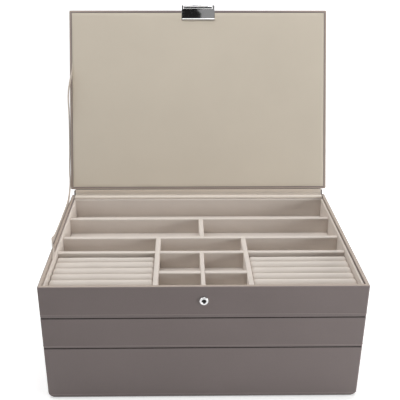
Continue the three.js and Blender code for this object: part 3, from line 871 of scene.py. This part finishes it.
def makeRingPad(node, name, look, seed):
    low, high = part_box(node)
    rows = (len(look.grooves) - 1) * look.arcSteps
    groove = high.z - look.rise
    bm = newGrid(look.lengthSteps, rows)
    shapeRolls(bm, low, high, groove, look, seed)
    closeUnderneath(bm, low.z)

    def isPinned(place):
        atSeam = any(abs(place.y + y) < look.seamHold for y in look.grooves)
        return place.z < groove - look.endDrop or (atSeam and place.z < groove + look.seamHold)

    bmesh.ops.recalc_face_normals(bm, faces=bm.faces)
    puffUp(bm, puffLook, isPinned, look.swell)
    cloth = [e for e in bm.edges if all(v.co.z > low.z + touch for v in e.verts)]
    bmesh.ops.subdivide_edges(bm, edges=cloth, cuts=1, use_grid_fill=True, smooth=1)
    for v in bm.verts:
        v.co = [max(low[k], min(high[k], v.co[k])) for k in range(3)]
    pad = makePiece(bm, name, "top_tray", velvet, node, sharp=75)
    return pad


makeRingPad("ring_pad_left", "ringPadLeft", ringLook, seed=0)
makeRingPad("ring_pad_right", "ringPadRight", ringLook, seed=7)
print("ring pads made")


# Lid: a leather board with a shallow pocket, and the padded velvet panel in it

lidLook = Look(
    cornerSegments=8,
    edgeRound=0.0018,
    lipRound=0.0012,
    edgeSegments=5,
    edgeWear=3,
    wearReach=0.003,
    lipPale=0.85,
    lipShare=0.6,
    margin=0.0037,
    pocket=0.002,
    fit=0.0003,
    crown=0.0005,
    crownDrawn=0.8,
    crownRun=0.003,
    columns=72,
    rows=52,
    crowding=0.3,
    held=0.7,
    swell=0.0002,
    ripple=0.00012,
    rippleScale=24,
)
claspLook = Look(
    width=0.046,
    plate=0.001,
    flange=0.0136,
    lip=0.0026,
    lipShare=0.95,
    lipSegments=6,
    front=0.0023,
    frontDrop=0.0005,
    lug=0.0024,
    lugRadius=0.0023,
    lugShare=0.98,
    lugSegments=10,
    pinRadius=0.0009,
    pinReach=0.0067,
    pinDrop=0.0055,
    pinStand=0.0003,
    pinDome=((0, 0), (0.6, 0.1), (1, 0.4)),
    edge=0.0003,
    edgeSegments=3,
)


def flangeRoom(ceiling):
    side = claspLook.width / 2 + lidLook.fit
    inner = claspLook.flange + lidLook.fit - boxSize.depth
    return cutter((-side, -2 * boxSize.depth, -cutReach), (side, inner, ceiling))


def makeLidBoard(look):
    bm = newBox((-halfWidth, -boxSize.depth, lidUnder), (halfWidth, -lidSize.rearGap, 0))
    roundEdges(bm, uprightEdges(bm), boxSize.corner, look.cornerSegments)
    roundEdges(bm, edgesAt(bm, 2, 0), look.edgeRound, look.edgeSegments)
    roundEdges(bm, edgesAt(bm, 2, lidUnder), look.lipRound, look.edgeSegments)
    # the lid's edges are painted lighter: wear and a painted highlight
    markWearAndHighlight(bm, look.wearReach, look.edgeWear)
    rim = bm.verts.layers.float.new("rim")
    for v in bm.verts:
        v[rim] = look.lipPale * (v.co.z < lidUnder + look.lipRound * look.lipShare)
    reach = look.margin - look.fit
    pocketLow = (reach - halfWidth, reach - boxSize.depth, -cutReach)
    pocketHigh = (halfWidth - reach, -reach, lidUnder + look.pocket)
    cuts = [cutter(pocketLow, pocketHigh), flangeRoom(lidUnder + claspLook.plate + look.fit)]
    return makePiece(bm, "lidLeather", "lid", leather, "lid_board", lidPlace, cutters=cuts)


def crowd(share, look):
    # even stations from -0.5 to 0.5 gather towards the edges, where the panel curves
    return look.crowding * math.sin(share * math.pi) + (1 - 2 * look.crowding) * share


def shapePanel(bm, look):
    width = boxSize.width - 2 * look.margin
    depth = boxSize.depth - 2 * look.margin
    for v in bm.verts:
        x = crowd(v.co.x, look) * width
        y = crowd(v.co.y, look) * depth
        inset = min(width / 2 - abs(x), depth / 2 - abs(y)) / look.crownRun
        rise = math.sin(max(0, min(inset, 1)) * math.pi / 2)
        ripple = look.ripple * noise.noise(Vector((x, y, 0)) * look.rippleScale) * rise
        v.co = (x, y - halfDepth, look.crown * look.crownDrawn * rise + ripple)


def makeLidPanel(look):
    bm = newGrid(look.columns, look.rows)
    shapePanel(bm, look)
    closeUnderneath(bm, look.fit - look.pocket)
    bmesh.ops.recalc_face_normals(bm, faces=bm.faces)
    puffUp(bm, puffLook, lambda place: place.z < look.crown * look.held, look.swell)
    # drawn face up, so it is turned over onto the pocket's floor
    for v in bm.verts:
        v.co.z = lidUnder - v.co.z
    cuts = [flangeRoom(cutReach)]
    panel = makePiece(
        bm, "lidPanel", "lid", panelVelvet, "lid_panel", lidPlace, cutters=cuts,
    )
    return panel


makeLidBoard(lidLook)
makeLidPanel(lidLook)
print("lid made")


# Clasp: a folded plate on the lid's front edge, a pin, and the flap that swings on it

flapLook = Look(
    width=0.0404,
    barrel=0.002,
    thickness=0.0012,
    length=0.0295,
    corner=0.004,
    cornerSegments=10,
    lipHeight=0.0035,
    lipReach=0.0014,
    lipSteps=6,
    swing=223.787,
)
studLook = Look(
    drop=0.0198,
    profile=[
        (0, 0), (0.0029, 0), (0.0029, 0.0003), (0.0026, 0.0006), (0.0013, 0.0007), (0.0012, 0.0016),
        (0.0015, 0.0022), (0.0015, 0.0028), (0.0012, 0.0033), (0.0007, 0.0036), (0, 0.0036),
    ],
)
pinPlace = Vector((0, -boxSize.depth - claspLook.pinReach, -claspLook.pinDrop))
flapPlace = lidPlace @ Matrix.Translation(pinPlace) @ turned(-flapLook.swing, "X")


def foldedPlate(look, side, outer, frontFace):
    inner = look.flange - boxSize.depth
    bm = newBox((-side, outer, lidUnder), (side, frontFace, -look.frontDrop))
    # the flange grows out of the plate's lower rear edge, then turns down into the lip
    flangeTop = lidUnder + look.plate
    sliceAt(bm, 2, flangeTop)
    centres = [(f, f.calc_center_median()) for f in bm.faces]
    flange = [f for f, c in centres if near(c.y, frontFace) and c.z < flangeTop]
    pushFaces(bm, flange, (0, inner - frontFace, 0))
    lipLine = inner - 2 * look.plate
    sliceAt(bm, 1, lipLine)
    centres = [(f, f.calc_center_median()) for f in bm.faces]
    lip = [f for f, c in centres if near(c.z, lidUnder) and c.y > lipLine]
    pushFaces(bm, lip, (0, 0, -look.lip))
    lipEdges = edgesAcross(bm, 2, lidUnder - look.lip)
    roundEdges(bm, lipEdges, look.plate * look.lipShare, look.lipSegments)
    roundEdges(bm, sharpEdges(bm), look.edge, look.edgeSegments)
    return bm


def makeLug(look, middle, rear):
    radius = look.lugRadius
    low = Vector((middle - look.lug / 2, pinPlace.y - radius, pinPlace.z - radius))
    high = low + Vector((look.lug, 0, 2 * radius))
    high.y = rear
    lug = newBox(low, high)
    roundEdges(lug, edgesAcross(lug, 1, low.y), radius * look.lugShare, look.lugSegments)
    roundEdges(lug, edgesAt(lug, 0, low.x, high.x), look.edge, look.edgeSegments)
    return lug


def joinInto(bm, other):
    mesh = bpy.data.meshes.new("part")
    other.to_mesh(mesh)
    other.free()
    bm.from_mesh(mesh)
    bpy.data.meshes.remove(mesh)


def makeClaspBase(look):
    side = look.width / 2
    frontFace = -boxSize.depth - lidLook.fit
    outer = frontFace - look.front
    bm = foldedPlate(look, side, outer, frontFace)
    for turn in (-1, 1):
        joinInto(bm, makeLug(look, turn * (side - look.lug / 2), outer + look.front / 2))
    return makePiece(bm, "claspBase", "lid", chrome, "clasp_base", lidPlace, sharp=50)


def makePin(look):
    half = look.width / 2 + look.pinStand
    radius = look.pinRadius
    dome = [(radius * out, radius * along - half) for out, along in look.pinDome]
    bm = spunShape(dome + [(r, -along) for r, along in reversed(dome)], steps=24, axis="X")
    place = lidPlace @ Matrix.Translation(pinPlace)
    return makePiece(bm, "claspPin", "lid", chrome, "clasp_pin", place)


def curlLip(bm, look):
    fold = look.lipHeight - look.length
    for k in range(look.lipSteps):
        sliceAt(bm, 2, fold - look.lipHeight * k / look.lipSteps)
    for v in bm.verts:
        if v.co.z < fold:
            v.co.y -= look.lipReach * ((fold - v.co.z) / look.lipHeight) ** 2


def makeBarrel(look):
    half, edge = look.width / 2, claspLook.edge
    bore = claspLook.pinRadius + lidLook.fit
    ring = [(bore, -half), (look.barrel - edge, -half), (look.barrel, edge - half)]
    ring += [(r, -along) for r, along in reversed(ring)] + [(bore, -half)]
    return spunShape(ring, steps=32, axis="X")


def makeFlap(look):
    half = look.width / 2
    bm = newBox((-half, look.barrel - look.thickness, -look.length), (half, look.barrel, 0))
    lowEdges = edgesAt(bm, 2, -look.length)
    cornerEdges = [e for e in lowEdges if not runs(e, 0)]
    roundEdges(bm, cornerEdges, look.corner, look.cornerSegments)
    curlLip(bm, look)
    rims = [e for e in sharpEdges(bm) if max(v.co.z for v in e.verts) < -touch]
    roundEdges(bm, rims, claspLook.edge, claspLook.edgeSegments)
    joinInto(bm, makeBarrel(look))
    return makePiece(bm, "claspFlap", "clasp_flap", chrome, "clasp_flap", flapPlace, sharp=50)


def makeStud(look):
    bm = spunShape(look.profile, steps=32)
    place = flapPlace @ Matrix.Translation((0, flapLook.barrel + lidLook.fit, -look.drop))
    return makePiece(bm, "claspStud", "clasp_flap", chrome, "clasp_stud", place, sharp=60)


makeClaspBase(claspLook)
makePin(claspLook)
makeFlap(flapLook)
makeStud(studLook)
print("clasp made")


# Keeper: a chrome ring on the front of the top tray, round a dark socket

keeperLook = Look(
    drop=0.0173,
    radius=0.0051,
    stand=0.0024,
    bore=0.00235,
    crownRound=0.0013,
    throatRound=0.0009,
    fit=0.0003,
    recess=0.0009,
    cupWall=0.0004,
    cupFloor=0.0003,
    cupEdge=0.0001,
)


def quarterArc(radius, steps=6):
    angles = [math.pi / 2 * k / steps for k in range(steps + 1)]
    return [(radius * math.cos(a), radius * math.sin(a)) for a in angles]


def makeKeeperRing(look, place):
    radius, stand, bore = look.radius, look.stand, look.bore
    crown, throat = look.crownRound, look.throatRound
    profile = [(bore, 0), (radius, 0)]
    profile += [(radius - crown + out, stand - crown + up) for out, up in quarterArc(crown)]
    profile += [(bore + throat - out, stand - throat + up) for up, out in quarterArc(throat)]
    bm = spunShape(profile + [(bore, 0)], steps=48)
    return makePiece(bm, "keeperRing", "top_tray", chrome, "keeper_ring", place, sharp=60)


def makeKeeperSocket(look, place):
    outer = look.bore - look.fit
    mouth = look.stand - look.recess
    wall, floor, edge = look.cupWall, look.cupFloor, look.cupEdge
    cup = [
        (0, 0), (outer, 0), (outer, mouth - edge), (outer - edge, mouth),
        (outer - wall, mouth), (outer - wall - edge, floor + edge), (0, floor),
    ]
    bm = spunShape(cup, steps=40)
    return makePiece(bm, "keeperSocket", "top_tray", socketPlastic, "keeper_socket", place)


keeperPlace = Matrix.Translation((0, -halfDepth, boxSize.rim - keeperLook.drop)) @ turned(180, "Z")
makeKeeperRing(keeperLook, keeperPlace)
makeKeeperSocket(keeperLook, keeperPlace)
print("keeper made")


# Soft strips across the hinge: the velvet lining and the satin ribbon

def onOpenLid(x, y, z):
    return lidPlace @ Vector((x, y, z))


def densePoints(points):
    data = bpy.data.curves.new("line", "CURVE")
    data.dimensions = "3D"
    spline = data.splines.new("BEZIER")
    spline.bezier_points.add(len(points) - 1)
    for spot, point in zip(spline.bezier_points, points):
        spot.co = point
        spot.handle_left_type = spot.handle_right_type = "AUTO"
    spline.resolution_u = 24
    line = linked("line", data)
    bpy.context.view_layer.update()
    dense = [v.co.copy() for v in line.to_mesh().vertices]
    line.to_mesh_clear()
    bpy.data.objects.remove(line)
    return dense


def smoothLine(points, steps):
    # a curve through the points, cut into steps of even length
    dense = densePoints(points)
    lengths = [0]
    for a, b in zip(dense, dense[1:]):
        lengths.append(lengths[-1] + (b - a).length)
    result, k = [], 0
    for n in range(steps + 1):
        target = lengths[-1] * n / steps
        while k < len(dense) - 2 and lengths[k + 1] < target:
            k += 1
        span = max(lengths[k + 1] - lengths[k], tiny)
        result.append(dense[k].lerp(dense[k + 1], min(1, (target - lengths[k]) / span)))
    return result


def lineLength(line):
    return sum((b - a).length for a, b in zip(line, line[1:]))


liningLook = Look(
    thickness=0.0006,
    endInset=0.0055,
    rise=0.0012,
    lean=0.0028,
    batten=0.005,
    turnDown=0.003,
    columns=90,
    steps=40,
)


def liningPoints(look, half, gap, foldY, top):
    # along the lid's rear edge, round the fold, over the batten and down in front of it
    frontY = halfDepth - boxSize.wall - look.batten
    return [
        onOpenLid(0, half, lidUnder + look.thickness),
        onOpenLid(0, half, lidUnder / 2),
        Vector((0, foldY - look.thickness, hingeAxis.z - gap)),
        Vector((0, foldY - look.lean / 3, hingeAxis.z - look.lean)),
        Vector((0, foldY - look.lean, top + look.rise)),
        Vector((0, foldY - look.lean - look.rise, top)),
        Vector((0, frontY + look.rise, top)),
        Vector((0, frontY - gap / 2, top - gap)),
        Vector((0, frontY - gap / 2, top - look.turnDown)),
    ]


def sweepStrip(bm, line, width, look):
    verts = [bm.verts.new(point - Vector((width / 2, 0, 0))) for point in line]
    row = [bm.edges.new(pair) for pair in zip(verts, verts[1:])]
    for k in range(look.columns):
        row = pushEdges(bm, row, (width / look.columns, 0, 0))
    bmesh.ops.recalc_face_normals(bm, faces=bm.faces)
    bmesh.ops.solidify(bm, geom=bm.faces[:], thickness=look.thickness)
    # keep the strip's middle on the line that it was drawn along
    middle = sum((v.co for v in bm.verts), Vector()) / len(bm.verts)
    aim = sum(line, Vector()) / len(line)
    bmesh.ops.translate(bm, vec=(0, aim.y - middle.y, aim.z - middle.z), verts=bm.verts)


def makeLining(look):
    half = look.thickness / 2
    gap = lidSize.rearGap + half
    foldY = halfDepth - gap
    top = boxSize.rim + gap
    line = smoothLine(liningPoints(look, half, gap, foldY, top), look.steps)
    length = lineLength(line)
    width = boxSize.width - 2 * look.endInset
    bm = bmesh.new()
    sweepStrip(bm, line, width, look)
    # the whole lining is painted paler: painted light making up for the shade that the open lid's overhang
    # casts on it
    pale = bm.verts.layers.float.new("pale")
    for v in bm.verts:
        v[pale] = 1
    strip = makePiece(bm, "hingeLining", None, velvet, "hinge_lining", sharp=60)
    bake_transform(strip, "top_tray", "lid", start=(0, foldY, top + half), end=(0, foldY, hingeAxis.z))
    print("lining flat", round(length, 4), round(width, 4))


ribbonLook = Look(
    width=0.01,
    thickness=0.0005,
    run=0.174,
    tuck=0.005,
    slot=0.025,
    lidBow=0.0016,
    wallBow=0.0008,
    steps=150,
    across=(0, 0.33, 0.67, 1),
)
# each row: how far out from the slot, the share of the run, slot lengths back from there,
# and tucks away from the lid's underside or the tray's rim
ribbonOnLid = [
    (0, 1, -0.04, -1), (0, 1, 0.46, 0), (0.5, 1, 0.96, 0.96), (1, 1, 1.65, 1),
    (1, 0.64, 0, 0.25), (1, 0.48, 0, -0.5), (1, 0.3, 0, -0.5), (1, 0.15, 0, 0),
]
ribbonOnWall = [
    (1, 0.03, 0, 4), (1, 0.09, 0, 2), (1, 0.18, 0, 0.5), (1, 0.36, 0, 0), (1, 0.64, 0, 0),
    (1, 1, 1.4, 0.3), (1, 1, 0.75, 1), (0.5, 1, 0.4, 1.2), (0, 1, 0.1, 0.6), (0, 1, -0.3, -1),
]


def ribbonPoints(look):
    # the lid's half stands further out, so that the two lie side by side when the lid is shut
    lidSlot = halfWidth - lidLook.margin + look.thickness
    traySlot = halfWidth - boxSize.wall - look.thickness
    lidRoom = halfWidth + look.lidBow - lidSlot
    trayRoom = halfWidth + look.wallBow - traySlot
    points = []
    for out, run, slots, tucks in ribbonOnLid:
        back = look.run * run - look.slot * slots
        points.append(onOpenLid(-lidSlot - lidRoom * out, -back, lidUnder - look.tuck * tucks))
    for out, run, slots, tucks in ribbonOnWall:
        back = look.run * run - look.slot * slots
        height = boxSize.rim + look.tuck * tucks
        points.append(Vector((-traySlot - trayRoom * out, halfDepth - back, height)))
    return points


def weaveRibbon(bm, line, look):
    # rows of vertices across the line, and faces between them that carry the weave's map
    layer = bm.loops.layers.uv.new("UVMap")
    rows = []
    for k, point in enumerate(line):
        along = (line[min(k + 1, len(line) - 1)] - line[max(k - 1, 0)]).normalized()
        across = along.cross(Vector((1, 0, 0))).normalized()
        spots = [point + across * look.width * (share - 0.5) for share in look.across]
        rows.append([bm.verts.new(spot) for spot in spots])
    columns = len(look.across) - 1
    for k, (here, there) in enumerate(zip(rows, rows[1:])):
        for c in range(columns):
            face = bm.faces.new((here[c], here[c + 1], there[c + 1], there[c]))
            corners = ((k, c), (k, c + 1), (k + 1, c + 1), (k + 1, c))
            for loop, (step, column) in zip(face.loops, corners):
                loop[layer].uv = (step / look.steps, column / columns)


def makeRibbon(look):
    line = smoothLine(ribbonPoints(look), look.steps)
    length = lineLength(line)
    bm = bmesh.new()
    weaveRibbon(bm, line, look)
    bmesh.ops.recalc_face_normals(bm, faces=bm.faces)
    bmesh.ops.solidify(bm, geom=bm.faces[:], thickness=look.thickness)
    ribbon = makePiece(bm, "lidRibbon", None, satin, "lid_ribbon", sharp=60)
    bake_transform(ribbon, "top_tray", "lid", start=(0, 0.121, 0.16), end=(0, 0.127, 0.19))
    print("ribbon flat", look.width, round(length, 4))


makeLining(liningLook)
makeRibbon(ribbonLook)
print("soft strips made")


# Studio: pale paper under and behind the box, four lamps, and what the chrome mirrors

studioLook = Look(
    paper=(0.9, 0.9, 0.9, 1),
    floorGlow=0.45,
    wallGlow=0.6,
    wallY=0.38,
    wallHeight=3,
    cove=0.12,
    coveSteps=10,
    reach=1.1,
    floorDepth=0.01,
)
lamps = {
    "top": Look(place=(0.0, 0.1, 1.4), size=(1.2, 1.0), power=14.0),
    "right": Look(place=(1.5, -0.1, 0.4), size=(0.8, 0.6), power=6.7),
    "rightFront": Look(place=(1.3, -1.0, 0.35), size=(0.8, 0.4), power=10.1),
    "left": Look(place=(-1.2, -0.2, 1.0), size=(0.9, 0.9), power=5.5),
}
lampAim = Vector((0, 0, 0.1))


def seenDirectly(g):
    path = g.add("LightPath").socket.node.outputs
    rays = ("Is Camera Ray", "Is Glossy Ray", "Is Transmission Ray")
    camera, glossy, through = [Wire(g, path[ray]) for ray in rays]
    return camera + glossy + through


def makePaper(name, look, glow, seeThroughBack):
    # the glow whitens the paper where it is seen or mirrored, and lights nothing
    g = newGraph(name)
    g.dress(Base_Color=look.paper, Roughness=1.0, Specular_IOR_Level=0.0)
    lit = Wire(g, g.surface.outputs[0])
    shine = g.add("Emission", None, {"Color": (1, 1, 1, 1), "Strength": glow})
    bright = g.add("AddShader", None, {0: lit, 1: shine})
    surface = g.add("MixShader", None, {0: seenDirectly(g), 1: lit, 2: bright})
    if seeThroughBack:
        back = g.add("NewGeometry", out="Backfacing")
        surface = g.add("MixShader", None, {0: back, 1: surface, 2: g.add("BsdfTransparent")})
    return g.dressGlowing(surface)


def makeFloorPaper(look):
    reach, rear = look.reach, look.wallY - look.cove
    floor = newObject(newBox((-reach, -reach, -look.floorDepth), (reach, rear, 0)), "floor")
    floor.data.materials.append(makePaper("floorPaper", look, look.floorGlow, False))
    return floor


def makeWallPaper(look):
    # a cove from the floor's rear edge, then straight up, facing the front
    bm = bmesh.new()
    rear = look.wallY - look.cove
    ends = [bm.verts.new((side, rear, 0)) for side in (-look.reach, look.reach)]
    bent = bmesh.ops.spin(
        bm, geom=ends + [bm.edges.new(ends)], cent=(0, rear, look.cove), axis=(1, 0, 0),
        angle=math.pi / 2, steps=look.coveSteps,
    )["geom_last"]
    pushEdges(bm, edgesIn(bent), (0, 0, look.wallHeight))
    for f in bm.faces:
        f.normal_update()
        if f.normal.y > 0 or f.normal.z < -touch:
            f.normal_flip()
    wall = newObject(bm, "wall")
    wall.data.shade_smooth()
    wall.data.materials.append(makePaper("wallPaper", look, look.wallGlow, True))
    return wall


def makeStage(look):
    floor = makeFloorPaper(look)
    wall = makeWallPaper(look)


def addLamp(name, look):
    data = bpy.data.lights.new(name, "AREA")
    data.shape = "RECTANGLE"
    data.size, data.size_y = look.size
    data.energy = look.power
    linked(name, data).matrix_world = facing(look.place, lampAim - Vector(look.place), "-Z")


def addAir():
    # white where it is seen or mirrored, and dark to the rays that light the box
    scene.world = bpy.data.worlds.new("air")
    g = Graph(scene.world)
    sky = g.tree.nodes["Background"].inputs
    g.feed(sky["Color"], (1, 1, 1, 1))
    g.feed(sky["Strength"], seenDirectly(g))


# what the clasp mirrors: a dark board on the left of a grey one, seen only in reflections
boardsLook = Look(
    place=(0.0117, -0.5076, 0.921),
    size=0.9,
    turn=20,
    dark=0.015,
    grey=0.36,
    seamSharp=60,
)


def makeMirroredBoards(look):
    g = newGraph("mirroredBoards")
    axes = g.add("SeparateXYZ", None, {0: g.place()})
    side = g.ramp(0.5 - look.seamSharp * axes, [(0.0, look.dark), (1.0, look.grey)])
    boards = newObject(newGrid(1, 1, look.size), "mirroredBoards")
    boards.data.materials.append(g.dressGlowing(g.add("Emission", None, {"Color": side})))
    aim = onOpenLid(0, -boxSize.depth, lidUnder) - Vector(look.place)
    boards.matrix_world = facing(look.place, aim, "Z") @ turned(look.turn, "Z")
    boards.visible_camera = boards.visible_diffuse = False
    boards.visible_shadow = boards.visible_transmission = False


makeStage(studioLook)
makeMirroredBoards(boardsLook)
for name, look in lamps.items():
    addLamp(name, look)
addAir()
scene.view_settings.view_transform = "Standard"
print("studio lit")
